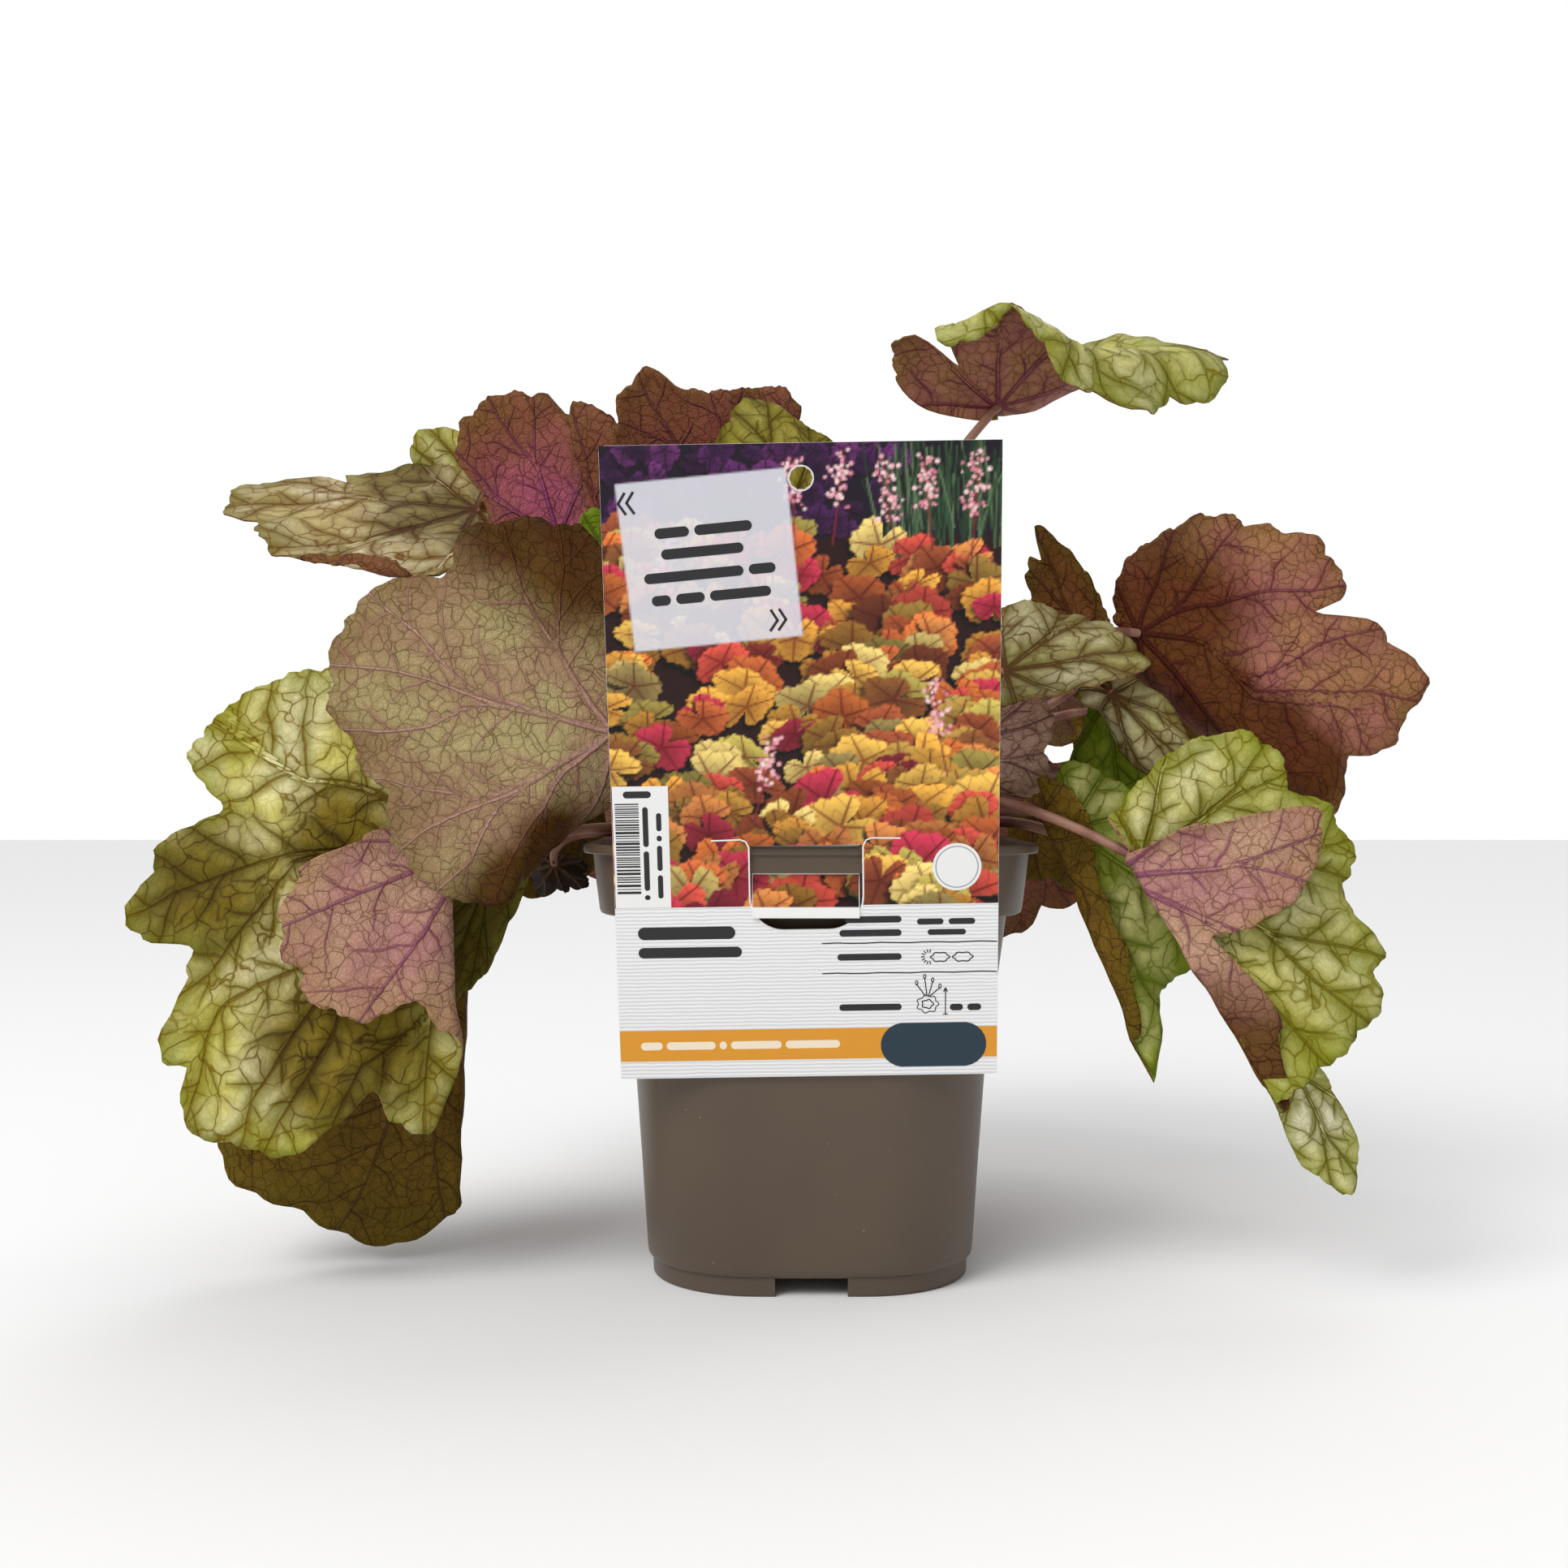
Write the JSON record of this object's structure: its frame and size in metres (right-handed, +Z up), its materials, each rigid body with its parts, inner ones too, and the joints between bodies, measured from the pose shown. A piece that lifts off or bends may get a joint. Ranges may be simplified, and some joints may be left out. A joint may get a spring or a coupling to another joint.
{
  "type": "potted heuchera plant",
  "caption": "Heuchera garden perennial with large lobed, folded leaves on long stalks, growing in a rounded square nursery pot that carries a hinged hanging card label.",
  "frame": {"origin": "on the ground under the middle of the whole plant's bounding box; the pot's own axis stands 3 mm towards +X and 26 mm towards -Y of it", "axes": "+Z up out of the pot, +X to the right and -Y towards the viewer when the card label is seen from the front"},
  "size_m": [0.3689, 0.2299, 0.2855],
  "materials": {
    "pot_plastic": "satin",
    "soil": "matte",
    "crown": "matte",
    "label_card": "satin",
    "foliage_top": "satin",
    "foliage_under": "satin",
    "dry_leaf": "matte"
  },
  "bodies": {
    "root": {"pot": "pot_plastic", "soil": "soil", "crown": "crown", "label": "label_card", "leaf_01": "foliage_under", "leaf_02": "foliage_top", "leaf_03": "foliage_top", "leaf_04": "foliage_top", "leaf_05": "foliage_top", "leaf_06": "foliage_under", "leaf_07": "foliage_top", "leaf_08": "foliage_under", "leaf_09": "foliage_under", "leaf_10": "foliage_top", "leaf_11": "foliage_top", "leaf_12": "foliage_top", "leaf_13": "foliage_top", "leaf_14": "foliage_top", "leaf_15": "foliage_top", "leaf_16": "foliage_under", "leaf_17": "foliage_top", "leaf_18": "foliage_under", "leaf_19": "foliage_top", "leaf_20": "foliage_top", "leaf_21": "foliage_top", "leaf_22": "foliage_top", "leaf_23": "foliage_top", "leaf_24": "foliage_top", "leaf_25": "foliage_top", "leaf_26": "foliage_top", "leaf_27": "foliage_top", "leaf_28": "foliage_top", "leaf_29": "foliage_top", "leaf_30": "foliage_top", "leaf_31": "foliage_top", "leaf_32": "foliage_top", "withered_leaf": "dry_leaf"}
  },
  "joints": []
}
